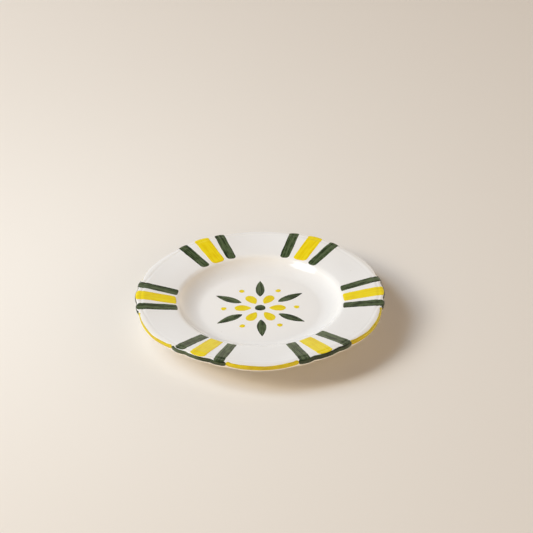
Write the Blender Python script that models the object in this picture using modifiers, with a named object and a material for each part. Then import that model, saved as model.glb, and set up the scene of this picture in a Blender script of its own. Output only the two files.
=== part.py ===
"""A hand-painted ceramic plate: clay body, white glaze coats and the brush strokes on them.

Metres, +Z up. The plate stands on z = 0 with its axis on the Z axis.
"""

import math

import bmesh
import bpy
import numpy as np
from mathutils import Matrix, Vector

# Clay body
RIM_RADIUS = 0.1092
FLANGE_WIDTH = 0.0360
FLANGE_RISE = 0.0067
WELL_DEPTH = 0.0166
WELL_WALL_RUN = 0.0096
WELL_FILLET = 0.0270
SHOULDER_FILLET = 0.0050
FLOOR_THICKNESS = 0.0048
BODY_THICKNESS = 0.0046

# Rounded lip along the rim
LIP_WIDTH = 0.0060
LIP_RISE = 0.0010
LIP_FILLET = 0.0030
RIM_THICKNESS = 0.0042
EDGE_SLOPE = 0.0006
EDGE_FILLET = 0.0014

# Foot ring
FOOT_WIDTH = 0.0060
FOOT_HEIGHT = 0.0030
FOOT_TAPER = 0.0008
FOOT_BARE = 0.0012

# Lobed rim: in each group a middle lobe between two small ones, then a broad lobe to the next group
GROUPS = 6
INNER_NOTCH = math.radians(6.4)
OUTER_NOTCH = math.radians(14.4)
NOTCH_DEPTH = 0.0016
BROAD_LOBE_REACH = 0.0006
BROAD_LOBE_DROP = 0.0018
LOBE_FADE = 0.0100

# Coats: the thickness of each, and the clearance under it
GLAZE_THICKNESS = 0.0005
PAINT_THICKNESS = 0.0004
SEAT_GAP = 0.0003

# Stripes across the flange, and the strokes round the outer edge
STRIPE_LENGTH = 0.0356
YELLOW_WIDTH_INNER = 0.0126
YELLOW_WIDTH_OUTER = 0.0148
GREEN_WIDTH_INNER = 0.0090
GREEN_WIDTH_OUTER = 0.0100
EDGE_START = 0.0002
EDGE_BARE = 0.0012
EDGE_STROKE_GAP = 0.0008

# Rosette on the well floor
PETALS = 6
HEART_RADIUS = 0.0048
PETAL_CLEAR = 0.0030
PETAL_LENGTH = 0.0150
PETAL_WIDTH = 0.0095
PETAL_BELLY = 0.62
LEAF_LAP = 0.0040
LEAF_WIDTH = 0.0085
LEAF_BELLY = 0.42
LEAF_MARGIN = 0.0070
BERRY_CLEAR = 0.0070
BERRY_RADIUS = 0.0026

# Fineness of the meshes
LOBE_STEPS = 2
ROW_SPACING = 0.0140
ARC_STEP = math.radians(36.0)
ARC_LENGTH = 0.0060
FILLET_LIMIT = 0.85
BASE_STEPS = 48
DOT_SIDES = 14
CURVE_STEPS = 5
MERGE = 0.00001
SMOOTH_ANGLE = math.radians(40.0)

# Handle length that draws a quarter circle, and the blunt and pointed ends of a brush dab
ROUND_END = 0.55
NARROW_END = 0.25
POINTED_END = 0.0

CLAY_COLOUR = (0.56, 0.36, 0.20, 1.0)
WHITE_COLOUR = (0.80, 0.76, 0.70, 1.0)
YELLOW_COLOUR = (0.76, 0.56, 0.02, 1.0)
GREEN_COLOUR = (0.045, 0.070, 0.030, 1.0)
CLAY_ROUGHNESS = 0.85
GLAZE_ROUGHNESS = 0.12
PAINT_ROUGHNESS = 0.20

SECTOR = 2.0 * math.pi / GROUPS
FLANGE_RADIUS = RIM_RADIUS - FLANGE_WIDTH
WELL_FLOOR_RADIUS = FLANGE_RADIUS - WELL_WALL_RUN
LIP_RADIUS = RIM_RADIUS - LIP_WIDTH
FLOOR_HEIGHT = FOOT_HEIGHT + FLOOR_THICKNESS
RIM_HEIGHT = FLOOR_HEIGHT + WELL_DEPTH
EDGE_FOOT = RIM_HEIGHT - RIM_THICKNESS
SHOULDER_HEIGHT = RIM_HEIGHT - FLANGE_RISE
COAT = SEAT_GAP + GLAZE_THICKNESS
PAINT_HEIGHT = FLOOR_HEIGHT + COAT + SEAT_GAP + PAINT_THICKNESS / 2.0
GREEN_ANGLE = (INNER_NOTCH + OUTER_NOTCH) / 2.0
EDGE_GAP_ANGLE = EDGE_STROKE_GAP / RIM_RADIUS
PETAL_START = HEART_RADIUS + PETAL_CLEAR
LEAF_START = PETAL_START + PETAL_LENGTH - LEAF_LAP
BERRY_PLACE = PETAL_START + PETAL_LENGTH + BERRY_CLEAR + BERRY_RADIUS
COLUMNS = np.concatenate([
    np.linspace(0.0, INNER_NOTCH, LOBE_STEPS, endpoint=False),
    np.linspace(INNER_NOTCH, OUTER_NOTCH, LOBE_STEPS, endpoint=False),
    np.linspace(OUTER_NOTCH, SECTOR / 2.0, LOBE_STEPS + 1),
])
TURN_STEPS = GROUPS * 2 * (len(COLUMNS) - 1)


def rounded(corners):
    """Points of a profile whose corners (radius, height, fillet) are rounded by arcs."""
    points = []
    for index, (radius, height, fillet) in enumerate(corners):
        corner = Vector((radius, height))
        if fillet == 0.0:
            points.append(corner)
            continue
        before = Vector(corners[index - 1][:2]) - corner
        after = Vector(corners[index + 1][:2]) - corner
        half_angle = before.angle(after) / 2.0
        room = FILLET_LIMIT * min(before.length, after.length)
        tangent = min(fillet / math.tan(half_angle), room)
        inwards = (before.normalized() + after.normalized()).normalized()
        centre = corner + inwards * tangent / math.cos(half_angle)
        spoke = corner + before.normalized() * tangent - centre
        turn = spoke.angle_signed(corner + after.normalized() * tangent - centre)
        arc = spoke.length * abs(turn)
        steps = max(math.ceil(abs(turn) / ARC_STEP), math.ceil(arc / ARC_LENGTH))
        for step in range(steps + 1):
            points.append(centre + Matrix.Rotation(-turn * step / steps, 2) @ spoke)
    return points


def offset(points, distance):
    """The profile moved outwards by distance, mitred at its corners."""
    moved = []
    for index, point in enumerate(points):
        ends = points[max(index - 1, 0):index + 2]
        ways = [(stop - start).normalized() for start, stop in zip(ends, ends[1:])]
        normals = [Vector((-way.y, way.x)) for way in ways]
        mitre = (normals[0] + normals[-1]).normalized()
        moved.append(point + mitre * distance / mitre.dot(normals[0]))
    return moved


def divided(points):
    """The profile with more points along the flange, so that its faces can follow the wave."""
    rows = [points[0]]
    for start, stop in zip(points, points[1:]):
        on_flange = min(start.x, stop.x) > FLANGE_RADIUS
        parts = math.ceil((stop - start).length / ROW_SPACING) if on_flange else 1
        rows += [start.lerp(stop, part / parts) for part in range(1, parts + 1)]
    return rows


def smooth_share(value, start, stop):
    """0 before start, 1 after stop, with a smooth rise between."""
    share = min(max((value - start) / (stop - start), 0.0), 1.0)
    return share * share * (3.0 - 2.0 * share)


def lobe_reach(turn):
    """How far the rim stands out at an angle from the middle of its stripe group."""
    turn = abs(turn)
    crown, half, reach = 0.0, INNER_NOTCH, 0.0
    if turn > OUTER_NOTCH:
        crown, half, reach = SECTOR / 2.0, SECTOR / 2.0 - OUTER_NOTCH, BROAD_LOBE_REACH
    elif turn > INNER_NOTCH:
        crown, half = GREEN_ANGLE, GREEN_ANGLE - INNER_NOTCH
    bulge = 1.0 - ((turn - crown) / half) ** 2
    return reach * bulge - NOTCH_DEPTH * (1.0 - bulge)


def on_plate(radius, height, angle):
    """A point of the turned profile, moved by the lobes and by the wave of the rim."""
    turn = (angle + SECTOR / 2.0) % SECTOR - SECTOR / 2.0
    reach = lobe_reach(turn) * smooth_share(radius, LIP_RADIUS - LOBE_FADE, LIP_RADIUS)
    drop = BROAD_LOBE_DROP * (1.0 - math.cos(GROUPS * turn)) / 2.0
    drop *= smooth_share(radius, FLANGE_RADIUS, RIM_RADIUS)
    wide = radius + reach
    return Vector((wide * math.cos(angle), wide * math.sin(angle), height - drop))


def material(name, colour, roughness):
    made = bpy.data.materials.new(name)
    made.use_nodes = True
    shader = made.node_tree.nodes["Principled BSDF"]
    shader.inputs["Base Color"].default_value = colour
    shader.inputs["Roughness"].default_value = roughness
    shader.inputs["Metallic"].default_value = 0.0
    made.diffuse_color = colour
    return made


def add(name, data, finish):
    """A new object of the plate, with its material."""
    made = bpy.data.objects.new(name, data)
    data.materials.append(finish)
    plate.objects.link(made)
    return made


def turned(name, profile, steps, finish):
    """A profile turned round the Z axis into a closed body."""
    mesh = bpy.data.meshes.new(name)
    links = [(index, index + 1) for index in range(len(profile) - 1)]
    mesh.from_pydata([(point.x, 0.0, point.y) for point in profile], links, [])
    made = add(name, mesh, finish)
    screw = made.modifiers.new("Turn", "SCREW")
    screw.axis = "Z"
    screw.angle = 2.0 * math.pi
    screw.steps = steps
    screw.render_steps = steps
    screw.use_merge_vertices = True
    screw.merge_threshold = MERGE
    screw.use_smooth_shade = True
    return made


def wave_rim(made):
    """Spread the turned columns to meet the notches, and move each point as the rim waves."""
    bpy.context.view_layer.update()
    seen = made.evaluated_get(bpy.context.evaluated_depsgraph_get())
    mesh = bpy.data.meshes.new_from_object(seen)
    made.modifiers.clear()
    made.data = mesh
    even = np.linspace(0.0, SECTOR / 2.0, len(COLUMNS))
    for point in mesh.vertices:
        radius = math.hypot(point.co.x, point.co.y)
        angle = math.atan2(point.co.y, point.co.x)
        group = round(angle / SECTOR) * SECTOR
        turn = angle - group
        turn = math.copysign(float(np.interp(abs(turn), even, COLUMNS)), turn)
        point.co = on_plate(radius, point.co.z, group + turn)
    mesh.set_sharp_from_angle(angle=SMOOTH_ANGLE)


class FacePath:
    """The line that paint lies on, from the middle of the well out over the rim."""

    def __init__(self, points):
        self.radii = np.array([point.x for point in points])
        self.heights = np.array([point.y for point in points])
        steps = np.hypot(np.diff(self.radii), np.diff(self.heights))
        self.distances = np.concatenate([[0.0], np.cumsum(steps)])
        self.widest = int(np.argmax(self.radii))

    def at_radius(self, radius):
        """Distance along the line at which the face reaches a radius."""
        face = slice(0, self.widest + 1)
        return float(np.interp(radius, self.radii[face], self.distances[face]))

    def at_height(self, height):
        """Distance along the line at which the outer side comes down to a height."""
        side = slice(self.widest, None)
        return float(np.interp(-height, -self.heights[side], self.distances[side]))

    def stations(self, start, stop):
        """Start, stop and every corner of the line between them."""
        between = [float(spot) for spot in self.distances if start + MERGE < spot < stop - MERGE]
        return [start] + between + [stop]

    def place(self, distance):
        """Radius and height at a distance along the line."""
        radius = float(np.interp(distance, self.distances, self.radii))
        return radius, float(np.interp(distance, self.distances, self.heights))


def stroke(name, start, stop, angles_at, finish):
    """A coat of paint on the face: rows along the line, columns at the angles of each row."""
    rows = paint_line.stations(start, stop)
    last_row = len(rows) - 1
    last_column = len(angles_at(start)) - 1
    sheet = bmesh.new()
    bmesh.ops.create_grid(sheet, x_segments=last_row, y_segments=last_column, size=0.5)
    for point in sheet.verts:
        distance = rows[round((point.co.x + 0.5) * last_row)]
        angle = angles_at(distance)[round((point.co.y + 0.5) * last_column)]
        point.co = on_plate(*paint_line.place(distance), angle)
    mesh = bpy.data.meshes.new(name)
    sheet.to_mesh(mesh)
    sheet.free()
    mesh.shade_smooth()
    coat = add(name, mesh, finish).modifiers.new("Coat", "SOLIDIFY")
    coat.thickness = PAINT_THICKNESS
    coat.offset = 1.0


def stripe(name, centre, width_inner, width_outer, finish):
    """A brush stroke along a spoke of the flange, from the well's shoulder to the rim's edge."""
    start = paint_line.at_radius(RIM_RADIUS - STRIPE_LENGTH)

    def angles(distance):
        share = (distance - start) / (stripe_stop - start)
        width = width_inner + (width_outer - width_inner) * share
        half = width / 2.0 / paint_line.place(distance)[0]
        return [centre - half, centre, centre + half]

    stroke(name, start, stripe_stop, angles, finish)


def edge_stroke(name, centre, half, finish):
    """A brush stroke round the rim's outer edge, with points at its ends and at the rim's columns."""
    start = stripe_stop + SEAT_GAP
    stop = paint_line.at_height(EDGE_FOOT + EDGE_BARE)
    turns = [-turn for turn in COLUMNS[:0:-1]] + list(COLUMNS[:-1])
    spots = [group * SECTOR + turn for group in range(GROUPS + 1) for turn in turns]
    inside = [spot for spot in spots if abs(spot - centre) < half - EDGE_GAP_ANGLE / 2.0]
    angles = [centre - half] + inside + [centre + half]
    stroke(name, start, stop, lambda distance: angles, finish)


def dab(name, start, length, width, belly, heel, tip, angle, finish):
    """A flat dab of paint on the well floor, along a spoke, with its heel towards the middle."""
    stop = start + length
    middle = start + length * belly
    half = width / 2.0
    back = middle - ROUND_END * (middle - start)
    ahead = middle + ROUND_END * (stop - middle)
    knots = [
        ((start, 0.0), (start, half * heel), (start, -half * heel)),
        ((middle, -half), (back, -half), (ahead, -half)),
        ((stop, 0.0), (stop, -half * tip), (stop, half * tip)),
        ((middle, half), (ahead, half), (back, half)),
    ]
    curve = bpy.data.curves.new(name, "CURVE")
    curve.dimensions = "2D"
    curve.fill_mode = "BOTH"
    curve.extrude = PAINT_THICKNESS / 2.0
    curve.resolution_u = CURVE_STEPS
    curve.render_resolution_u = CURVE_STEPS
    spline = curve.splines.new("BEZIER")
    spline.bezier_points.add(len(knots) - 1)
    spline.use_cyclic_u = True
    for point, (place, left, right) in zip(spline.bezier_points, knots):
        point.co = (*place, 0.0)
        point.handle_left = (*left, 0.0)
        point.handle_right = (*right, 0.0)
    made = add(name, curve, finish)
    made.location.z = PAINT_HEIGHT
    made.rotation_euler.z = angle
    weld = made.modifiers.new("Close", "WELD")
    weld.merge_threshold = MERGE


def dot(name, radius, place, angle, finish):
    """A round dot of paint on the well floor."""
    disc = bmesh.new()
    bmesh.ops.create_cone(
        disc, cap_ends=True, segments=DOT_SIDES, radius1=radius, radius2=radius, depth=PAINT_THICKNESS)
    mesh = bpy.data.meshes.new(name)
    disc.to_mesh(mesh)
    disc.free()
    made = add(name, mesh, finish)
    made.location = (place * math.cos(angle), place * math.sin(angle), PAINT_HEIGHT)


for old in list(bpy.data.objects):
    bpy.data.objects.remove(old, do_unlink=True)
plate = bpy.data.collections.new("painted_plate")
bpy.context.scene.collection.children.link(plate)

clay = material("bare_clay", CLAY_COLOUR, CLAY_ROUGHNESS)
white = material("white_glaze", WHITE_COLOUR, GLAZE_ROUGHNESS)
yellow = material("yellow_paint", YELLOW_COLOUR, PAINT_ROUGHNESS)
green = material("green_paint", GREEN_COLOUR, PAINT_ROUGHNESS)

# The wall keeps its thickness below the shoulder, and runs down at one slope to the foot ring
wall_line = [
    Vector((WELL_FLOOR_RADIUS, FLOOR_HEIGHT)),
    Vector((FLANGE_RADIUS, SHOULDER_HEIGHT)),
    Vector((LIP_RADIUS, RIM_HEIGHT - LIP_RISE)),
]
under_shoulder = offset(wall_line, -BODY_THICKNESS)[1]
wall_slope = (SHOULDER_HEIGHT - FLOOR_HEIGHT) / WELL_WALL_RUN
foot_outer = under_shoulder.x - (under_shoulder.y - FOOT_HEIGHT) / wall_slope
foot_inner = foot_outer - FOOT_WIDTH
bare_taper = FOOT_TAPER * (1.0 - FOOT_BARE / FOOT_HEIGHT)

# Face, rim and underside of the clay, from the middle of the well to the bare sole of the foot
outside = divided(rounded([
    (0.0, FLOOR_HEIGHT, 0.0),
    (WELL_FLOOR_RADIUS, FLOOR_HEIGHT, WELL_FILLET),
    (FLANGE_RADIUS, SHOULDER_HEIGHT, SHOULDER_FILLET),
    (LIP_RADIUS, RIM_HEIGHT - LIP_RISE, 0.0),
    (RIM_RADIUS - LIP_WIDTH / 2.0, RIM_HEIGHT, LIP_FILLET),
    (RIM_RADIUS, RIM_HEIGHT - LIP_RISE, EDGE_FILLET),
    (RIM_RADIUS - EDGE_SLOPE, EDGE_FOOT, EDGE_FILLET),
    (under_shoulder.x, under_shoulder.y, 0.0),
    (foot_outer, FOOT_HEIGHT, 0.0),
    (foot_outer - bare_taper, FOOT_BARE, 0.0),
]))
sole = [Vector((foot_outer - FOOT_TAPER, 0.0)), Vector((foot_inner + FOOT_TAPER, 0.0))]
recess = [
    Vector((foot_inner + bare_taper, FOOT_BARE)),
    Vector((foot_inner, FOOT_HEIGHT)),
    Vector((0.0, FOOT_HEIGHT)),
]

wave_rim(turned("clay_body", outside + sole + recess, TURN_STEPS, clay))
coat_section = offset(outside, COAT) + offset(outside, SEAT_GAP)[::-1]
wave_rim(turned("glaze_coat", coat_section, TURN_STEPS, white))
base_section = offset(recess, SEAT_GAP)[::-1] + offset(recess, COAT)
turned("glaze_base", base_section, BASE_STEPS, white)

# Stripe groups on the flange and the strokes round the edge
paint_line = FacePath(offset(outside, COAT + SEAT_GAP))
stripe_stop = paint_line.at_radius(RIM_RADIUS - EDGE_START)
green_half = OUTER_NOTCH - EDGE_GAP_ANGLE / 2.0
yellow_half = SECTOR / 2.0 - OUTER_NOTCH - EDGE_GAP_ANGLE / 2.0
for number in range(1, GROUPS + 1):
    middle = (number - 1) * SECTOR
    stripe(f"yellow_stripe_{number}", middle, YELLOW_WIDTH_INNER, YELLOW_WIDTH_OUTER, yellow)
    for side, turn in (("left", GREEN_ANGLE), ("right", -GREEN_ANGLE)):
        name = f"green_stripe_{number}_{side}"
        stripe(name, middle + turn, GREEN_WIDTH_INNER, GREEN_WIDTH_OUTER, green)
    edge_stroke(f"green_edge_{number}", middle, green_half, green)
    edge_stroke(f"yellow_edge_{number}", middle + SECTOR / 2.0, yellow_half, yellow)

# Rosette: a heart, petals round it, leaves between the petals, and a berry beyond each petal
flat_radius = outside[1].x
leaf_length = flat_radius - LEAF_MARGIN - LEAF_START
dot("rosette_heart", HEART_RADIUS, 0.0, 0.0, green)
for number in range(1, PETALS + 1):
    angle = (number - 1) * 2.0 * math.pi / PETALS
    between = angle + math.pi / PETALS
    dab(f"rosette_petal_{number}", PETAL_START, PETAL_LENGTH, PETAL_WIDTH, PETAL_BELLY,
        NARROW_END, ROUND_END, angle, yellow)
    dab(f"rosette_leaf_{number}", LEAF_START, leaf_length, LEAF_WIDTH, LEAF_BELLY,
        NARROW_END, POINTED_END, between, green)
    dot(f"rosette_berry_{number}", BERRY_RADIUS, BERRY_PLACE, angle, yellow)
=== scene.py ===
import math
import random

import bpy
import numpy as np
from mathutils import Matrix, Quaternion, Vector


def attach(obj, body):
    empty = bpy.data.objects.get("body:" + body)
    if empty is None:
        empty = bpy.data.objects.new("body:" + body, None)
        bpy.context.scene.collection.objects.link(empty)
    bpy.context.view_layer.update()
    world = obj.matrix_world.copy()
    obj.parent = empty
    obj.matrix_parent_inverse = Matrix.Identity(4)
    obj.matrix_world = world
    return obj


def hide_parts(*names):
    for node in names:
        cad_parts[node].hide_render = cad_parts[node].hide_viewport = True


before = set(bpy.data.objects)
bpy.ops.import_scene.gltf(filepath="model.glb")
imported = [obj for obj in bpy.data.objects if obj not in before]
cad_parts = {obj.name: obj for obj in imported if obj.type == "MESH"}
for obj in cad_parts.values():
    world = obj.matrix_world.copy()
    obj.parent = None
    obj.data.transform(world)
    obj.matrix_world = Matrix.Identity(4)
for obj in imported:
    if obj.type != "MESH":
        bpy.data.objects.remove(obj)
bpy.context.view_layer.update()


# Clay body: the biscuit of the plate, buff earthenware formed on a turning mould with a low bead along its
# lip, and pinched into lobes along its rim while soft. Glaze hides all of it but the sole of the foot ring,
# which is wiped bare.
RIM_RADIUS = 0.1092
GROOVE_RADIUS = 0.1030
FLANGE_RADIUS = 0.0735
CLAY_FACE = [
    (0.0000, 0.0078, 0.0),
    (0.0636, 0.0078, 0.0270),
    (FLANGE_RADIUS, 0.0177, 0.0085),
    (GROOVE_RADIUS, 0.0238, 0.0052),
    (0.1048, 0.02355, 0.0040),
    (0.1066, 0.0241, 0.0045),
    (RIM_RADIUS, 0.0238, 0.0006),
    (0.1087, 0.0202, 0.0006),
    (0.07549, 0.01345, 0.0060),
    (0.06535, 0.0030, 0.0012),
    (0.06487, 0.0012, 0.0),
]
CLAY_SOLE = [(0.06455, 0.0, 0.0006), (0.06015, 0.0, 0.0006)]
CLAY_RECESS = [(0.05983, 0.0012, 0.0), (0.05935, 0.0030, 0.0010), (0.0, 0.0030, 0.0)]
TURNING_STEPS = 450
FLANGE_CUTS = 15
FLANGE_FLAT = 0.020
FLANGE_LOW = 0.016
ROUNDING_STEPS = 9
ROUNDING_LIMIT = 0.84
SEED_SIZE = 0.001
MERGE = 0.000002
CREASE = math.radians(50.0)

GROUPS = 6
SECTOR = 2.0 * math.pi / GROUPS
INNER_NOTCH = math.radians(6.4)
OUTER_NOTCH = math.radians(14.4)
NOTCH_DEPTH = 0.0014
NOTCH_SOFTNESS = math.radians(0.25)
NOTCH_SAMPLES = (-2.0, -1.0, 0.0, 1.0, 2.0)
NOTCH_START = 0.1030
NOTCH_FOOT = 0.0190
NOTCH_FOOT_FADE = 0.004
NOTCH_FOOT_SHARE = 0.7
BROAD_LOBE_REACH = 0.0006
BROAD_LOBE_DROP = 0.0018
GROOVE_FOOT = 0.1050
BEAD_TOP = 0.1072
GROOVE_FILL = 0.00024
GROOVE_FILL_START = 0.085
GROOVE_ENDS = (math.radians(13.0), math.radians(19.0))

CLAY_COLOUR = (0.47, 0.29, 0.16, 1.0)
CLAY_PALE = (0.60, 0.40, 0.25, 1.0)
CLAY_CLOUD_SCALE = 90.0
CLAY_CLOUD_DETAIL = 4.0
CLAY_CLOUD_SHARE = 0.7
GRIT_SCALE = 1500.0
GRIT_DETAIL = 2.0
GRIT_SHARE = 0.5
GRIT_STRENGTH = 0.5
GRIT_HEIGHT = 0.0003
CLAY_TONE_SHIFT = 0.1
CLAY_ROUGHNESS = 0.85


class Value:
    """A socket in a material, whose sums and products add Math nodes to it."""

    def __init__(self, tree, socket=None):
        self.tree = tree
        self.socket = socket

    def node(self, kind, settings, sockets, output=0):
        """A new node: its settings first, then the values or links of its sockets."""
        made = self.tree.nodes.new(kind)
        for name, setting in settings.items():
            setattr(made, name, setting)
        for name, given in sockets.items():
            if isinstance(given, Value):
                self.tree.links.new(given.socket, made.inputs[name])
            else:
                made.inputs[name].default_value = given
        return Value(self.tree, made.outputs[output])

    def maths(self, operation, *values):
        """A Math node on some values."""
        return self.node("ShaderNodeMath", {"operation": operation}, dict(enumerate(values)))

    def __add__(self, other):
        return self.maths("ADD", self, other)

    def __radd__(self, other):
        return self.maths("ADD", other, self)

    def __sub__(self, other):
        return self.maths("SUBTRACT", self, other)

    def __rsub__(self, other):
        return self.maths("SUBTRACT", other, self)

    def __mul__(self, other):
        return self.maths("MULTIPLY", self, other)

    def __rmul__(self, other):
        return self.maths("MULTIPLY", other, self)

    def rise(self, start, stop):
        """0 where the value is at start, 1 where it is at stop, with a smooth change between."""
        sockets = {"Value": self, "From Min": start, "From Max": stop}
        return self.node("ShaderNodeMapRange", {"interpolation_type": "SMOOTHSTEP"}, sockets)

    def tint(self, plain, tinted):
        """Plain colour where the value is 0, tinted where it is 1."""
        return self.node("ShaderNodeMix", {"data_type": "RGBA"}, {0: self, 6: plain, 7: tinted}, 2)


def new_finish(name):
    """A new material and the start of its node expressions."""
    made = bpy.data.materials.new(name)
    made.use_nodes = True
    return made, made.node_tree.nodes["Principled BSDF"], Value(made.node_tree)


def noise(start, place, scale, detail, roughness=0.5):
    """Cloudy values about 0.5 at a place in the material."""
    sockets = {"Vector": place, "Scale": scale, "Detail": detail, "Roughness": roughness}
    return start.node("ShaderNodeTexNoise", {}, sockets)


def draw_profile(name, corners):
    """A chain of edges drawn by extruding through corners (radius, height, rounding), then rounded."""
    bpy.ops.object.select_all(action="DESELECT")
    bpy.ops.mesh.primitive_plane_add(size=SEED_SIZE, location=(corners[0][0], 0.0, corners[0][1]))
    made = bpy.context.object
    made.name = name
    made.data.name = name
    bpy.ops.object.transform_apply(location=True, rotation=True, scale=True)
    bpy.ops.object.mode_set(mode="EDIT")
    bpy.ops.mesh.select_mode(type="VERT")
    bpy.ops.mesh.select_all(action="SELECT")
    bpy.ops.mesh.merge(type="CENTER")
    for here, there in zip(corners, corners[1:]):
        step = (there[0] - here[0], 0.0, there[1] - here[1])
        bpy.ops.mesh.extrude_region_move(TRANSFORM_OT_translate={"value": step})
    for before, here, after in zip(corners, corners[1:], corners[2:]):
        if here[2] > 0.0:
            back = Vector(before[:2]) - Vector(here[:2])
            ahead = Vector(after[:2]) - Vector(here[:2])
            run = here[2] / math.tan(back.angle(ahead) / 2.0)
            run = min(run, ROUNDING_LIMIT * back.length, ROUNDING_LIMIT * ahead.length)
            pick_points(made, [here])
            bpy.ops.mesh.bevel(
                offset=run,
                offset_type="OFFSET",
                segments=ROUNDING_STEPS,
                affect="VERTICES",
                clamp_overlap=False,
            )
    bpy.ops.object.mode_set(mode="OBJECT")
    return made


def pick_points(made, places):
    """Select the profile's points at some places (radius, height), in edit mode."""
    bpy.ops.object.mode_set(mode="OBJECT")
    for edge in made.data.edges:
        edge.select = False
    for point in made.data.vertices:
        point.select = any(
            math.hypot(point.co.x - place[0], point.co.z - place[1]) < MERGE for place in places)
    bpy.ops.object.mode_set(mode="EDIT")


def profile_order(made):
    """The numbers of a profile's points, in order from its first end."""
    beside = {point.index: [] for point in made.data.vertices}
    for edge in made.data.edges:
        first, second = edge.vertices
        beside[first].append(second)
        beside[second].append(first)
    chain = [0]
    while True:
        ahead = [index for index in beside[chain[-1]] if index not in chain[-2:]]
        if not ahead:
            break
        chain.append(ahead[0])
    return chain


def turn_profile(made, steps):
    """Turn a profile once round the Z axis into a closed body with its faces outwards."""
    turning = made.modifiers.new("Turning", "SCREW")
    turning.axis = "Z"
    turning.angle = 2.0 * math.pi
    turning.steps = steps
    turning.render_steps = steps
    turning.use_merge_vertices = True
    turning.merge_threshold = MERGE
    bpy.ops.object.modifier_apply(modifier=turning.name)
    bpy.ops.object.mode_set(mode="EDIT")
    bpy.ops.mesh.select_all(action="SELECT")
    bpy.ops.mesh.remove_doubles(threshold=MERGE)
    bpy.ops.mesh.normals_make_consistent(inside=False)
    bpy.ops.object.mode_set(mode="OBJECT")


def smooth_share(value, start, stop):
    """0 where the value is at start, 1 where it is at stop, with a smooth change between."""
    share = np.clip((value - start) / (stop - start), 0.0, 1.0)
    return share * share * (3.0 - 2.0 * share)


def group_turn(angle):
    """How far an angle is from the middle of the nearest stripe group."""
    return np.abs((angle + SECTOR / 2.0) % SECTOR - SECTOR / 2.0)


def lobe_reach(angle):
    """How far the rim stands out at an angle."""
    turn = group_turn(angle)
    middle = 1.0 - (turn / INNER_NOTCH) ** 2
    side = 1.0 - ((2.0 * turn - INNER_NOTCH - OUTER_NOTCH) / (OUTER_NOTCH - INNER_NOTCH)) ** 2
    broad = 1.0 - ((SECTOR / 2.0 - turn) / (SECTOR / 2.0 - OUTER_NOTCH)) ** 2
    bulge = np.where(turn > OUTER_NOTCH, broad, np.where(turn > INNER_NOTCH, side, middle))
    reach = np.where(turn > OUTER_NOTCH, BROAD_LOBE_REACH, 0.0)
    return reach * bulge - NOTCH_DEPTH * (1.0 - bulge)


def on_plate(radius, height, angle):
    """Points of the turned form, moved by the lobes and the wave of the rim.

    The groove inside the bead is filled up between the stripe groups.
    """
    soft = [lobe_reach(angle + step * NOTCH_SOFTNESS) for step in NOTCH_SAMPLES]
    above_foot = smooth_share(height, NOTCH_FOOT, NOTCH_FOOT + NOTCH_FOOT_FADE)
    depth = NOTCH_FOOT_SHARE + (1.0 - NOTCH_FOOT_SHARE) * above_foot
    reach = np.mean(soft, axis=0) * depth * smooth_share(radius, NOTCH_START, RIM_RADIUS)
    drop = BROAD_LOBE_DROP * (1.0 - np.cos(GROUPS * angle)) / 2.0
    drop = drop * smooth_share(radius, FLANGE_RADIUS, RIM_RADIUS)
    filled = 2.0 * smooth_share(radius, GROOVE_RADIUS, GROOVE_FOOT)
    filled = filled - smooth_share(radius, GROOVE_FILL_START, GROOVE_RADIUS)
    filled = filled - smooth_share(radius, GROOVE_FOOT, BEAD_TOP)
    drop = drop - GROOVE_FILL * filled * smooth_share(group_turn(angle), *GROOVE_ENDS)
    wide = radius + reach
    return np.stack([wide * np.cos(angle), wide * np.sin(angle), height - drop], axis=-1)


def pinch_rim(made):
    """Move every point of a turned body as the rim's lobes ask."""
    flat = np.empty(len(made.data.vertices) * 3)
    made.data.vertices.foreach_get("co", flat)
    points = flat.reshape(-1, 3)
    radius = np.hypot(points[:, 0], points[:, 1])
    angle = np.arctan2(points[:, 1], points[:, 0])
    moved = on_plate(radius, points[:, 2], angle)
    made.data.vertices.foreach_set("co", moved.ravel())
    made.data.update()


def smooth_faces(made):
    """Shade a body smooth, apart from its sharp edges."""
    bpy.ops.object.select_all(action="DESELECT")
    made.select_set(True)
    bpy.context.view_layer.objects.active = made
    bpy.ops.object.shade_smooth_by_angle(angle=CREASE)


def cut_flange(made):
    """Divide the flat of the flange, so that it can follow the wave."""
    spots = [made.data.vertices[index].co for index in profile_order(made)]
    for here, there in zip(spots, spots[1:]):
        if here.z > FLANGE_LOW and there.x - here.x > FLANGE_FLAT:
            ends = [(here.x, here.z), (there.x, there.z)]
    pick_points(made, ends)
    bpy.ops.mesh.subdivide(number_cuts=FLANGE_CUTS)
    bpy.ops.object.mode_set(mode="OBJECT")


bare_clay, shader, start = new_finish("bare_clay_biscuit")
place = start.node("ShaderNodeTexCoord", {}, {}, "Object")
cloud = noise(start, place, CLAY_CLOUD_SCALE, CLAY_CLOUD_DETAIL)
grit = noise(start, place, GRIT_SCALE, GRIT_DETAIL)
patches = cloud * CLAY_CLOUD_SHARE + grit * GRIT_SHARE - CLAY_TONE_SHIFT
clay_tone = patches.tint(CLAY_COLOUR, CLAY_PALE)
start.tree.links.new(clay_tone.socket, shader.inputs["Base Color"])
grains = {"Strength": GRIT_STRENGTH, "Distance": GRIT_HEIGHT, "Height": grit}
relief = start.node("ShaderNodeBump", {}, grains)
start.tree.links.new(relief.socket, shader.inputs["Normal"])
shader.inputs["Roughness"].default_value = CLAY_ROUGHNESS

clay = draw_profile("clay_biscuit", CLAY_FACE + CLAY_SOLE + CLAY_RECESS)
cut_flange(clay)
turn_profile(clay, TURNING_STEPS)
pinch_rim(clay)
smooth_faces(clay)
clay.data.materials.append(bare_clay)
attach(clay, "root")
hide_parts("clay_body")


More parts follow.
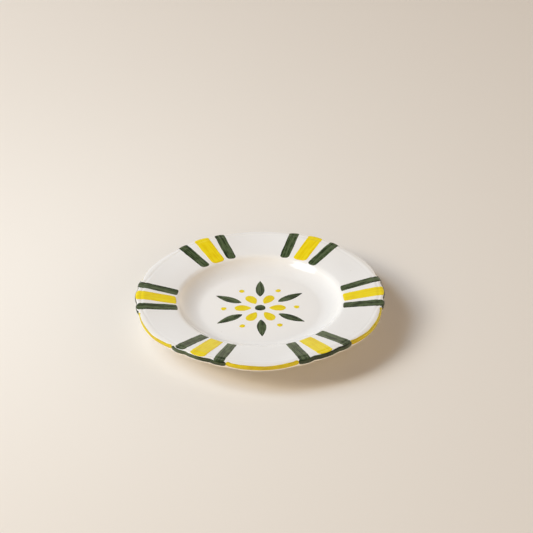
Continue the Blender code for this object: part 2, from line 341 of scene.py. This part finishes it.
# Glaze coat: the opaque white tin glaze that the biscuit is dipped in, fired to a glossy skin over the
# face, the rim and the outside of the wall. It ends in a soft line just above the sole of the foot.
GLAZE_TOP = 0.0008
GLAZE_SEAT = 0.0002
GLAZE_FOOT_SINK = 0.00005
GLAZE_WHITE = (0.845, 0.845, 0.84, 1.0)
GLAZE_WARM = (0.83, 0.825, 0.815, 1.0)
GLAZE_THIN = (0.76, 0.70, 0.61, 1.0)
# The floor of the well is painted lighter and warmer than the rest of the glaze: painted light that lifts the
# shade there.
GLAZE_WELL_PAINTED_LIGHT = (0.90, 0.884, 0.857, 1.0)
WELL_PAINTED_LIGHT_EDGE = (0.064, 0.050)
GLAZE_SPECK = (0.42, 0.35, 0.27, 1.0)
GLAZE_CLOUD_SCALE = 22.0
GLAZE_CLOUD_DETAIL = 3.0
GLAZE_CLOUD_EDGE = (0.35, 0.70)
RIPPLE_SCALE = 70.0
RIPPLE_DETAIL = 2.0
PEEL_SCALE = 420.0
PEEL_DETAIL = 1.0
PEEL_SHARE = 0.06
DUST_SCALE = 170.0
DUST_PATCH_SCALE = 95.0
DUST_PATCH_EDGE = (0.60, 0.72)
SPECK_EDGE = (0.070, 0.045)
SPECK_SHARE = 0.6
WORN_RADIUS = BEAD_TOP
WORN_BEFORE = 0.0035
WORN_FULL = 0.0015
WORN_AFTER = 0.0040
WORN_SHARE = 0.35
HEM_HEIGHT = 0.0208
HEM_BEFORE = 0.0016
HEM_FULL = 0.0006
HEM_AFTER = 0.0020
HEM_SHARE = 0.35
RIPPLE_STRENGTH = 0.35
RIPPLE_HEIGHT = 0.0004
GLAZE_ROUGHNESS = 0.05
GLAZE_ROUGHNESS_CHANGE = 0.06
GLAZE_SPECULAR = 0.7
GLAZE_COAT = 0.3
GLAZE_COAT_ROUGHNESS = 0.04


def coated(corners, distance):
    """Corners of a profile moved outwards by a coat's thickness, with their roundings to match."""
    spots = [Vector(corner[:2]) for corner in corners]
    moved = []
    for index, spot in enumerate(spots):
        ends = spots[max(index - 1, 0):index + 2]
        ways = [(stop - start).normalized() for start, stop in zip(ends, ends[1:])]
        sides = [Vector((-way.y, way.x)) for way in ways]
        mitre = (sides[0] + sides[-1]).normalized()
        moved_spot = spot + mitre * distance / mitre.dot(sides[0])
        bulges = ways[0].cross(ways[-1]) < 0.0
        rounding = corners[index][2]
        if rounding > 0.0:
            rounding = rounding + distance if bulges else max(rounding - distance, MERGE)
        moved.append((moved_spot.x, moved_spot.y, rounding))
    return moved


class FaceLine:
    """The outer line of the glaze, from the middle of the well over the rim, that paint is laid along."""

    def __init__(self, made):
        spots = [made.data.vertices[index].co for index in profile_order(made)]
        heights = [spot.z for spot in spots]
        spots = spots[:heights.index(min(heights)) + 1]
        self.radii = np.array([spot.x for spot in spots])
        self.heights = np.array([spot.z for spot in spots])
        wide = np.gradient(self.radii)
        high = np.gradient(self.heights)
        size = np.hypot(wide, high)
        self.out_wide = -high / size
        self.out_high = wide / size
        steps = np.hypot(np.diff(self.radii), np.diff(self.heights))
        self.runs = np.concatenate([[0.0], np.cumsum(steps)])
        self.widest = int(np.argmax(self.radii))

    def at_radius(self, radius):
        """The run to a radius on the face."""
        face = slice(0, self.widest + 1)
        return float(np.interp(radius, self.radii[face], self.runs[face]))

    def at_height(self, height):
        """The run to a height on the outside, below the widest point."""
        side = slice(self.widest, None)
        return float(np.interp(-height, -self.heights[side], self.runs[side]))

    def place(self, run, lift):
        """Radius and height at a run along the line, lifted off it."""
        radius = np.interp(run, self.runs, self.radii)
        height = np.interp(run, self.runs, self.heights)
        radius = radius + lift * np.interp(run, self.runs, self.out_wide)
        height = height + lift * np.interp(run, self.runs, self.out_high)
        return radius, height


outer_corners = coated(CLAY_FACE, GLAZE_TOP)
foot_end = coated(CLAY_FACE, -GLAZE_FOOT_SINK)[-1]
inner_corners = coated(CLAY_FACE, GLAZE_SEAT)[::-1]
glaze = draw_profile("glaze_skin", outer_corners + [foot_end] + inner_corners[1:])
cut_flange(glaze)
face_line = FaceLine(glaze)

white_glaze, shader, start = new_finish("white_tin_glaze")
place = start.node("ShaderNodeTexCoord", {}, {}, "Object")
across = start.node("ShaderNodeAttribute", {"attribute_name": "run"}, {}, "Fac")
cloud = noise(start, place, GLAZE_CLOUD_SCALE, GLAZE_CLOUD_DETAIL)
ripple = noise(start, place, RIPPLE_SCALE, RIPPLE_DETAIL)
peel = noise(start, place, PEEL_SCALE, PEEL_DETAIL)
dust = start.node("ShaderNodeTexVoronoi", {}, {"Vector": place, "Scale": DUST_SCALE}, "Distance")
dust_patch = noise(start, place, DUST_PATCH_SCALE, 0.0)
speck = dust.rise(*SPECK_EDGE) * dust_patch.rise(*DUST_PATCH_EDGE)
lip_run = face_line.at_radius(WORN_RADIUS)
worn = across.rise(lip_run - WORN_BEFORE, lip_run)
worn = worn * across.rise(lip_run + WORN_AFTER, lip_run + WORN_FULL)
hem_run = face_line.at_height(HEM_HEIGHT)
hem = across.rise(hem_run - HEM_BEFORE, hem_run)
hem = hem * across.rise(hem_run + HEM_AFTER, hem_run + HEM_FULL)
broad_tone = cloud.rise(*GLAZE_CLOUD_EDGE).tint(GLAZE_WHITE, GLAZE_WARM)
# Painted light: the floor of the well is tinted lighter and warmer.
well_tone = across.rise(*WELL_PAINTED_LIGHT_EDGE).tint(broad_tone, GLAZE_WELL_PAINTED_LIGHT)
thin_tone = (worn * cloud * WORN_SHARE + hem * HEM_SHARE).tint(well_tone, GLAZE_THIN)
glaze_tone = (speck * SPECK_SHARE).tint(thin_tone, GLAZE_SPECK)
start.tree.links.new(glaze_tone.socket, shader.inputs["Base Color"])
skin = ripple + peel * PEEL_SHARE
ripples = {"Strength": RIPPLE_STRENGTH, "Distance": RIPPLE_HEIGHT, "Height": skin}
relief = start.node("ShaderNodeBump", {}, ripples)
start.tree.links.new(relief.socket, shader.inputs["Normal"])
gloss = GLAZE_ROUGHNESS + ripple * GLAZE_ROUGHNESS_CHANGE
start.tree.links.new(gloss.socket, shader.inputs["Roughness"])
shader.inputs["Specular IOR Level"].default_value = GLAZE_SPECULAR
shader.inputs["Coat Weight"].default_value = GLAZE_COAT
shader.inputs["Coat Roughness"].default_value = GLAZE_COAT_ROUGHNESS

runs = glaze.data.attributes.new("run", "FLOAT", "POINT")
chain = profile_order(glaze)
travelled = 0.0
for before, here in zip([chain[0]] + chain, chain):
    travelled += (glaze.data.vertices[here].co - glaze.data.vertices[before].co).length
    runs.data[here].value = travelled
turn_profile(glaze, TURNING_STEPS)
pinch_rim(glaze)
smooth_faces(glaze)
glaze.data.materials.append(white_glaze)
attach(glaze, "root")
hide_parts("glaze_coat")


# Base glaze: the same white glaze under the plate, a disc inside the foot ring that turns down its inner
# side. It is left from the dipping, once the sole of the ring has been wiped.
BASE_EDGE = (0.05991, 0.0012, 0.0)
BASE_STEPS = TURNING_STEPS // 3
base_corners = coated(CLAY_RECESS, GLAZE_SEAT)[::-1] + [BASE_EDGE] + coated(CLAY_RECESS, GLAZE_TOP)
base = draw_profile("base_glaze_disc", base_corners)
turn_profile(base, BASE_STEPS)
smooth_faces(base)
base.data.materials.append(white_glaze)
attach(base, "root")
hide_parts("glaze_base")


# Stripe groups: on each of six places a yellow stripe between two green ones, each one pull of a loaded
# flat brush from the well's shoulder out to the rim. The colour sinks into the glaze and keeps its streaks.
YELLOW_DEEP = (0.75, 0.545, 0.001, 1.0)
YELLOW_BODY = (0.80, 0.63, 0.001, 1.0)
YELLOW_THIN = (0.83, 0.67, 0.010, 1.0)
GREEN_DEEP = (0.013, 0.027, 0.008, 1.0)
GREEN_BODY = (0.035, 0.060, 0.020, 1.0)
GREEN_THIN = (0.085, 0.120, 0.055, 1.0)
STRIPE_START = 0.0736
YELLOW_STOP = (0.10985, 0.1097, 0.1097, 0.10985, 0.1092, 0.1088)
LEFT_STOP = (0.10975, 0.10975, 0.10975, 0.10975, 0.10975, 0.10975)
RIGHT_STOP = (0.10975, 0.10975, 0.10975, 0.10975, 0.1089, 0.10975)
YELLOW_HALVES = (0.0063, 0.0074)
GREEN_HALVES = (0.0045, 0.0050)
YELLOW_DEGREES_OFF = (-0.6, 0.0, -0.2, -0.1, -0.3, -0.3)
LEFT_DEGREES_OFF = (0.2, 1.0, 0.2, -1.1, 0.1, 1.2)
RIGHT_DEGREES_OFF = (-0.2, -0.3, 0.2, 0.9, 0.4, -0.5)
CORNER_POWER = 4
OUTER_ROUND = 0.0020
INNER_ROUND = (0.0012, 0.0024, 0.0026, 0.0016, 0.0008, 0.0008)
GREEN_TURN = (INNER_NOTCH + OUTER_NOTCH) / 2.0
STRIPE_WAVER = 0.00022
STRIPE_SLANT = 0.0007
STRIPE_AHEAD = 0.0006
STRIPE_LEAN = 0.004
STRIPE_WIDEN = (0.97, 1.03)
STREAK_SHIFT = 90.0
WAVER_TURNS = (1.0, 2.0, 4.0)
WAVER_CHANGE = (0.6, 1.4)
FILM = 0.00009
YELLOW_FILM = FILM * 1.6
FILM_SINK = 0.00012
FILM_EDGE = 0.00045
FILM_DEPTH = 0.00025
BRUSH_ROWS = 72
BRUSH_COLUMNS = 22
HAIR_STRETCH = (45.0, 1500.0, 1.0)
HAIR_ROUGHNESS = 0.6
HAIR_SHARE = 0.8
STREAK_STRETCH = (30.0, 420.0, 1.0)
POOL_STRETCH = (150.0, 220.0, 1.0)
POOL_SHARE = 0.6
BRUSH_DETAIL = 2.0
THICK_SHIFT = 0.7
SIDE_EDGE = (0.0011, 0.0003)
SIDE_LOAD = 0.20
LEAN_EDGE = (0.56, 0.36)
LOAD_EDGE = (0.50, 0.74)
PAINT_ROUGHNESS = 0.10
PAINT_ROUGHNESS_CHANGE = 0.16
PAINT_RELIEF_STRENGTH = 0.25
PAINT_RELIEF_HEIGHT = 0.0001
PAINT_SPECULAR = 0.36
PAINT_COAT = 0.15
PAINT_COAT_ROUGHNESS = 0.05
BRUSH_SEED = 20
brush = random.Random(BRUSH_SEED)


def brush_paint(name, deep, body, thin):
    """Glaze paint with the streaks of a brush along it, thicker at the sides of the stroke."""
    made, shader, start = new_finish(name)
    drawn = start.node("ShaderNodeUVMap", {}, {})
    inside = start.node("ShaderNodeAttribute", {"attribute_name": "inside"}, {}, "Fac")
    hairs = start.node("ShaderNodeMapping", {}, {"Vector": drawn, "Scale": HAIR_STRETCH})
    streaks = start.node("ShaderNodeMapping", {}, {"Vector": drawn, "Scale": STREAK_STRETCH})
    pools = start.node("ShaderNodeMapping", {}, {"Vector": drawn, "Scale": POOL_STRETCH})
    hair = noise(start, hairs, 1.0, BRUSH_DETAIL, HAIR_ROUGHNESS)
    streak = noise(start, streaks, 1.0, BRUSH_DETAIL)
    pool = noise(start, pools, 1.0, BRUSH_DETAIL)
    thick = streak + hair * HAIR_SHARE + pool * POOL_SHARE - THICK_SHIFT
    side = inside.rise(*SIDE_EDGE)
    lean = thick.rise(*LEAN_EDGE)
    load = (thick + side * SIDE_LOAD).rise(*LOAD_EDGE)
    tone = lean.tint(body, thin)
    tone = load.tint(tone, deep)
    start.tree.links.new(tone.socket, shader.inputs["Base Color"])
    gloss = PAINT_ROUGHNESS + hair * PAINT_ROUGHNESS_CHANGE
    start.tree.links.new(gloss.socket, shader.inputs["Roughness"])
    ridges = {"Strength": PAINT_RELIEF_STRENGTH, "Distance": PAINT_RELIEF_HEIGHT, "Height": hair + streak}
    relief = start.node("ShaderNodeBump", {}, ridges)
    start.tree.links.new(relief.socket, shader.inputs["Normal"])
    shader.inputs["Specular IOR Level"].default_value = PAINT_SPECULAR
    shader.inputs["Coat Weight"].default_value = PAINT_COAT
    shader.inputs["Coat Roughness"].default_value = PAINT_COAT_ROUGHNESS
    return made


def lay_paint(name, rows, columns, shape, finish):
    """A film of paint: a grid of rows along the stroke and columns across it, put in place by its shape."""
    bpy.ops.object.select_all(action="DESELECT")
    bpy.ops.mesh.primitive_grid_add(x_subdivisions=rows, y_subdivisions=columns, size=2.0, calc_uvs=True)
    made = bpy.context.object
    made.name = name
    made.data.name = name
    flat = np.empty(len(made.data.vertices) * 3)
    made.data.vertices.foreach_get("co", flat)
    grid = flat.reshape(-1, 3)
    share = 0.5 + 0.5 * np.sin(grid[:, 0] * math.pi / 2.0)
    side = np.sin(grid[:, 1] * math.pi / 2.0)
    points, along, wide, inside = shape(share, side)
    made.data.vertices.foreach_set("co", points.ravel())
    corners = np.empty(len(made.data.loops), dtype=int)
    made.data.loops.foreach_get("vertex_index", corners)
    drawn = np.stack([along, wide], axis=-1)[corners]
    made.data.uv_layers[0].data.foreach_set("uv", drawn.ravel())
    depth = made.data.attributes.new("inside", "FLOAT", "POINT")
    depth.data.foreach_set("value", inside)
    made.data.update()
    bpy.ops.object.mode_set(mode="EDIT")
    bpy.ops.mesh.select_all(action="SELECT")
    bpy.ops.mesh.remove_doubles(threshold=MERGE)
    bpy.ops.object.mode_set(mode="OBJECT")
    film = made.modifiers.new("Film", "SOLIDIFY")
    film.thickness = FILM_DEPTH
    film.offset = -1.0
    bpy.ops.object.modifier_apply(modifier=film.name)
    smooth_faces(made)
    made.data.materials.append(finish)
    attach(made, "root")
    return made


def film_lift(inside, film):
    """Height of a film above the glaze at a distance inside its outline."""
    raised = film * smooth_share(inside, 0.0, FILM_EDGE)
    sunk = FILM_SINK * (1.0 - smooth_share(inside, 0.0, FILM_EDGE / 2.0))
    return raised - sunk


def unsteady(size, length):
    """A slow waver of the hand along a stroke."""
    waves = []
    for turns in WAVER_TURNS:
        changed = brush.uniform(*WAVER_CHANGE) * turns
        waves.append((changed, brush.uniform(0.0, 2.0 * math.pi)))

    def waver(run):
        swing = 0.0
        for turns, phase in waves:
            swing = swing + np.sin(2.0 * math.pi * turns * run / length + phase) / (1.0 + turns)
        return size * swing

    return waver


def stripe_shape(number, centre, halves, stop_radius, film):
    """A stripe along a spoke of the flange, with soft corners and the waver of the hand."""
    half_inner, half_outer = halves
    start = face_line.at_radius(STRIPE_START)
    stop = face_line.at_radius(stop_radius)
    length = stop - start
    left = unsteady(STRIPE_WAVER, length)
    right = unsteady(STRIPE_WAVER, length)
    slant = brush.uniform(-STRIPE_SLANT, STRIPE_SLANT)
    ahead = brush.uniform(-STRIPE_AHEAD, STRIPE_AHEAD)
    lean = brush.uniform(-STRIPE_LEAN, STRIPE_LEAN)
    widen = brush.uniform(*STRIPE_WIDEN)
    shift = brush.uniform(0.0, STREAK_SHIFT)

    def shape(share, side):
        inner = start + ahead + slant * side + INNER_ROUND[number - 1] * side ** CORNER_POWER
        outer = stop - OUTER_ROUND * side ** CORNER_POWER
        run = inner + (outer - inner) * share
        part = (run - start) / length
        half = widen * (half_inner + (half_outer - half_inner) * part)
        waver = np.where(side > 0.0, left(run - start), right(run - start)) * np.abs(side)
        wide = side * half + waver
        inside = np.minimum((1.0 - np.abs(side)) * half, np.minimum(run - inner, outer - run))
        radius, height = face_line.place(run, film_lift(inside, film))
        angle = centre + lean * (part - 0.5) + wide / radius
        return on_plate(radius, height, angle), run + shift, wide, inside

    return shape


yellow_paint = brush_paint("yellow_brush_paint", YELLOW_DEEP, YELLOW_BODY, YELLOW_THIN)
green_paint = brush_paint("green_brush_paint", GREEN_DEEP, GREEN_BODY, GREEN_THIN)
hands = (
    ("left", GREEN_TURN, LEFT_DEGREES_OFF, LEFT_STOP),
    ("right", -GREEN_TURN, RIGHT_DEGREES_OFF, RIGHT_STOP),
)
for number in range(1, GROUPS + 1):
    middle = (number - 1) * SECTOR
    spoke = middle + math.radians(YELLOW_DEGREES_OFF[number - 1])
    drawn = stripe_shape(number, spoke, YELLOW_HALVES, YELLOW_STOP[number - 1], YELLOW_FILM)
    piece = lay_paint(f"yellow_brush_stripe_{number}", BRUSH_ROWS, BRUSH_COLUMNS, drawn, yellow_paint)
    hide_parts(f"yellow_stripe_{number}")
    for hand, turn, degrees_off, stops in hands:
        spoke = middle + turn + math.radians(degrees_off[number - 1])
        drawn = stripe_shape(number, spoke, GREEN_HALVES, stops[number - 1], FILM)
        name = f"green_brush_stripe_{number}_{hand}"
        piece = lay_paint(name, BRUSH_ROWS, BRUSH_COLUMNS, drawn, green_paint)
        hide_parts(f"green_stripe_{number}_{hand}")


# Edge bands: the outer edge of the rim is banded by brush, green along each stripe group and yellow along
# the broad lobes between. Each band laps a little over the lip and leaves a white line below it.
# The edge paints are darker copies of the stripe paints: painted shade for the outer edge of the rim.
YELLOW_EDGE_SHADE_DEEP = (0.54, 0.41, 0.001, 1.0)
YELLOW_EDGE_SHADE_BODY = (0.60, 0.48, 0.001, 1.0)
YELLOW_EDGE_SHADE_THIN = (0.65, 0.53, 0.006, 1.0)
GREEN_EDGE_SHADE_DEEP = (0.010, 0.021, 0.007, 1.0)
GREEN_EDGE_SHADE_BODY = (0.025, 0.043, 0.016, 1.0)
GREEN_EDGE_SHADE_THIN = (0.060, 0.085, 0.040, 1.0)
GREEN_TOPS = (0.1094, 0.1099, 0.1099, 0.1097, 0.1093, 0.1086)
YELLOW_TOPS = (0.1099, 0.1099, 0.1099, 0.1094, 0.1090, 0.1086)
BAND_FOOT = 0.0212
BAND_MEETING = math.radians(13.9)
BAND_POOL = 0.0007
BAND_POOL_PLACE = 0.0010
BAND_POOL_LENGTH = 0.0018
BAND_WAVER_TOP = 0.00020
BAND_WAVER_FOOT = 0.00016
BAND_END_ROUND = 0.0008
BAND_END_EASE = 0.0009
BAND_END_EASE_POWER = 40
BAND_ROWS = 90
BAND_COLUMNS = 14


def band_shape(centre, half_turn, top_radius):
    """A band round the outer edge, between two angles, with blunt ends."""
    top = face_line.at_radius(top_radius)
    foot = face_line.at_height(BAND_FOOT)
    reach = half_turn * RIM_RADIUS
    over = unsteady(BAND_WAVER_TOP, reach)
    under = unsteady(BAND_WAVER_FOOT, reach)
    shift = brush.uniform(0.0, STREAK_SHIFT)

    def shape(share, side):
        end = np.abs(2.0 * share - 1.0)
        along = (2.0 * share - 1.0) * (reach - BAND_END_ROUND * side ** CORNER_POWER)
        ease = BAND_END_EASE * end ** BAND_END_EASE_POWER
        pool = BAND_POOL * np.exp(-(((1.0 - end) * reach - BAND_POOL_PLACE) / BAND_POOL_LENGTH) ** 2)
        high = top + over(along) + ease - pool
        low = foot + under(along) - ease
        run = (high + low) / 2.0 + side * (low - high) / 2.0
        inside = np.minimum((1.0 - np.abs(side)) * (low - high) / 2.0, (1.0 - end) * reach)
        radius, height = face_line.place(run, film_lift(inside, FILM))
        return on_plate(radius, height, centre + along / RIM_RADIUS), along + shift, run - top, inside

    return shape


# Painted shade: the bands take darker copies of the yellow and green stripe paints.
yellow_edge_shaded_paint = brush_paint(
    "yellow_edge_shaded_paint", YELLOW_EDGE_SHADE_DEEP, YELLOW_EDGE_SHADE_BODY, YELLOW_EDGE_SHADE_THIN)
green_edge_shaded_paint = brush_paint(
    "green_edge_shaded_paint", GREEN_EDGE_SHADE_DEEP, GREEN_EDGE_SHADE_BODY, GREEN_EDGE_SHADE_THIN)
for number in range(1, GROUPS + 1):
    middle = (number - 1) * SECTOR
    drawn = band_shape(middle, BAND_MEETING, GREEN_TOPS[number - 1])
    piece = lay_paint(f"green_edge_band_{number}", BAND_ROWS, BAND_COLUMNS, drawn, green_edge_shaded_paint)
    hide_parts(f"green_edge_{number}")
    drawn = band_shape(middle + SECTOR / 2.0, SECTOR / 2.0 - BAND_MEETING, YELLOW_TOPS[number - 1])
    piece = lay_paint(f"yellow_edge_band_{number}", BAND_ROWS, BAND_COLUMNS, drawn, yellow_edge_shaded_paint)
    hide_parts(f"yellow_edge_{number}")


# Rosette: a plain six-fold flower in the middle of the well, each petal, leaf and berry one dab of the same
# two colours. The dabs are pressed on with a pointed brush, so that they are rounder at one end.
FLOOR_TOP = 0.0086
HEART_RADIUS = 0.0048
BERRY_RADIUS = 0.0026
BERRY_PLACE = 0.0324
PETAL_START = 0.0078
PETAL_LENGTH = 0.0150
PETAL_HALF = 0.00475
PETAL_BELLY = 0.62
LEAF_START = 0.0188
LEAF_LENGTH = 0.0264
LEAF_HALF = 0.00425
LEAF_BELLY = 0.42
ROUND_END = 0.55
NARROW_END = 0.25
POINTED_END = 0.0
EVEN_BELLY = 0.5
DAB_TURN = 0.03
DAB_BOW = 0.0005
DAB_WAVER = 0.00022
DAB_ROWS = 48
DAB_COLUMNS = 18


def dab_shape(begin, length, half, belly, heel, tip, angle):
    """A dab along a spoke, whose outline swells from its heel to its belly and closes to its tip."""
    turned = angle + brush.uniform(-DAB_TURN, DAB_TURN)
    bow = brush.uniform(-DAB_BOW, DAB_BOW)
    left = unsteady(DAB_WAVER, length)
    right = unsteady(DAB_WAVER, length)
    shift = brush.uniform(0.0, STREAK_SHIFT)

    def shape(share, side):
        before = share < 0.5
        step = np.where(before, share * 2.0, 2.0 - share * 2.0)
        blunt = np.where(before, heel, tip)
        rest = 1.0 - step
        run = 3.0 * rest * step ** 2 * (1.0 - ROUND_END) + step ** 3
        swell = 3.0 * rest ** 2 * step * blunt + 3.0 * rest * step ** 2 + step ** 3
        part = np.where(before, run * belly, 1.0 - run * (1.0 - belly))
        waver = np.where(side > 0.0, left(part * length), right(part * length)) * np.abs(side) * swell
        wide = side * half * swell + waver
        inside = np.minimum((1.0 - np.abs(side)) * half * swell, np.minimum(part, 1.0 - part) * length)
        along = begin + part * length
        aside = wide + bow * np.sin(math.pi * part)
        spots = [
            along * math.cos(turned) - aside * math.sin(turned),
            along * math.sin(turned) + aside * math.cos(turned),
            FLOOR_TOP + film_lift(inside, FILM),
        ]
        return np.stack(spots, axis=-1), along + shift, wide, inside

    return shape


def dab(name, node, slot, finish, *sizes):
    """One dab on the floor of the well, with its sizes as dab_shape takes them."""
    piece = lay_paint(name, DAB_ROWS, DAB_COLUMNS, dab_shape(*sizes), finish)
    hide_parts(node)


dab("heart_dab", "rosette_heart", "green_paint", green_paint,
    -HEART_RADIUS, 2.0 * HEART_RADIUS, HEART_RADIUS, EVEN_BELLY, ROUND_END, ROUND_END, 0.0)
for number in range(1, GROUPS + 1):
    spoke = (number - 1) * SECTOR
    dab(f"petal_dab_{number}", f"rosette_petal_{number}", "yellow_paint", yellow_paint,
        PETAL_START, PETAL_LENGTH, PETAL_HALF, PETAL_BELLY, NARROW_END, ROUND_END, spoke)
    dab(f"leaf_dab_{number}", f"rosette_leaf_{number}", "green_paint", green_paint,
        LEAF_START, LEAF_LENGTH, LEAF_HALF, LEAF_BELLY, NARROW_END, POINTED_END, spoke + SECTOR / 2.0)
    dab(f"berry_dab_{number}", f"rosette_berry_{number}", "yellow_paint", yellow_paint,
        BERRY_PLACE - BERRY_RADIUS, 2.0 * BERRY_RADIUS, BERRY_RADIUS, EVEN_BELLY, ROUND_END, ROUND_END, spoke)


# Floor: a wide sheet of cream paper that the plate stands on, plain and matt, so that the soft shadow of
# the plate shows on it.
FLOOR_CREAM = (0.817, 0.772, 0.711, 1.0)
FLOOR_SIZE = 12.0
FLOOR_ROUGHNESS = 0.9
FLOOR_SPECULAR = 0.2
bpy.ops.object.select_all(action="DESELECT")
bpy.ops.mesh.primitive_plane_add(size=FLOOR_SIZE, location=(0.0, 0.0, 0.0))
floor = bpy.context.object
floor.name = "paper_floor"
cream_paper, shader, start = new_finish("cream_paper")
shader.inputs["Base Color"].default_value = FLOOR_CREAM
shader.inputs["Roughness"].default_value = FLOOR_ROUGHNESS
shader.inputs["Specular IOR Level"].default_value = FLOOR_SPECULAR
floor.data.materials.append(cream_paper)


# Light: one large soft lamp far to the left, a smaller and warmer one lower beside it, a small one near
# that shows as a glint on the glaze, and a warm room that is brighter on the right and in front.
KEY_PLACE = (171.0, 36.0, 3.0)
KEY_SIZE = 1.6
KEY_POWER = 58.9
KEY_COLOUR = (0.702, 0.838, 1.0)
GLINT_PLACE = (172.0, 57.0, 0.588)
GLINT_SIZE = 0.244
GLINT_POWER = 0.60
GLINT_COLOUR = (0.75, 0.88, 1.0)
LOW_PLACE = (190.0, 30.0, 3.0)
LOW_SIZE = 0.9
LOW_POWER = 37.7
LOW_COLOUR = (1.0, 0.882, 0.700)
ROOM_RIGHT = (1.315, 1.133, 0.939, 1.0)
ROOM_FRONT = (1.317, 0.934, 0.418, 1.0)
ROOM_BACK = (0.25, 0.26, 0.24, 1.0)
ROOM_HIGH = (0.183, 0.151, 0.144, 1.0)
ROOM_TOP = 0.8
NO_LIGHT = (0.0, 0.0, 0.0, 1.0)
ADDED = {"data_type": "RGBA", "blend_type": "ADD"}
PALE_BACK = (0.80, 0.76, 0.69, 1.0)


def soft_lamp(place, size, power, colour):
    """A round soft lamp that faces the plate from a turn round it, a rise above the floor and a distance."""
    turn, rise = math.radians(place[0]), math.radians(place[1])
    way = Vector((math.cos(turn) * math.cos(rise), math.sin(turn) * math.cos(rise), math.sin(rise)))
    bpy.ops.object.light_add(type="AREA", location=way * place[2])
    lamp = bpy.context.object
    lamp.data.shape = "DISK"
    lamp.data.size = size
    lamp.data.energy = power
    lamp.data.color = colour
    lamp.rotation_euler = (-way).to_track_quat("-Z", "Y").to_euler()
    return lamp


key = soft_lamp(KEY_PLACE, KEY_SIZE, KEY_POWER, KEY_COLOUR)
key.visible_glossy = False
soft_lamp(GLINT_PLACE, GLINT_SIZE, GLINT_POWER, GLINT_COLOUR)
low_lamp = soft_lamp(LOW_PLACE, LOW_SIZE, LOW_POWER, LOW_COLOUR)
low_lamp.visible_glossy = False
room = bpy.data.worlds.new("warm_room")
bpy.context.scene.world = room
room.use_nodes = True
light = Value(room.node_tree)
way = light.node("ShaderNodeTexCoord", {}, {}, "Generated")
height = light.node("ShaderNodeSeparateXYZ", {}, {"Vector": way}, "Z")
east = light.node("ShaderNodeSeparateXYZ", {}, {"Vector": way}, "X")
north = light.node("ShaderNodeSeparateXYZ", {}, {"Vector": way}, "Y")
seen = light.node("ShaderNodeLightPath", {}, {}, "Is Camera Ray")
right_wall = (east * 0.5 + 0.5).tint(NO_LIGHT, ROOM_RIGHT)
front_wall = (0.5 - north * 0.5).tint(NO_LIGHT, ROOM_FRONT)
back_wall = (north * 0.5 + 0.5).tint(NO_LIGHT, ROOM_BACK)
walls = light.node("ShaderNodeMix", ADDED, {0: 1.0, 6: right_wall, 7: front_wall}, 2)
walls = light.node("ShaderNodeMix", ADDED, {0: 1.0, 6: walls, 7: back_wall}, 2)
shade = height.rise(0.0, ROOM_TOP).tint(walls, ROOM_HIGH)
tone = seen.tint(shade, PALE_BACK)
backdrop = room.node_tree.nodes["Background"]
room.node_tree.links.new(tone.socket, backdrop.inputs["Color"])


# Camera: a long lens in front of the plate and well above the table, aimed a little behind the plate's
# middle and turned by the small tilt of the picture.
CAMERA_PLACE = Vector((-0.0112, -1.1232, 0.7430))
CAMERA_AIM = Vector((0.00671, 0.04408, 0.0245))
CAMERA_ROLL = math.radians(-0.704)
CAMERA_LENS = 102.10
SENSOR_WIDTH = 36.0
bpy.ops.object.camera_add(location=CAMERA_PLACE)
camera = bpy.context.object
camera.data.lens = CAMERA_LENS
camera.data.sensor_width = SENSOR_WIDTH
camera.rotation_mode = "QUATERNION"
facing = (CAMERA_AIM - CAMERA_PLACE).to_track_quat("-Z", "Y")
camera.rotation_quaternion = facing @ Quaternion((0.0, 0.0, 1.0), CAMERA_ROLL)
bpy.context.scene.camera = camera
bpy.context.scene.view_settings.view_transform = "Standard"
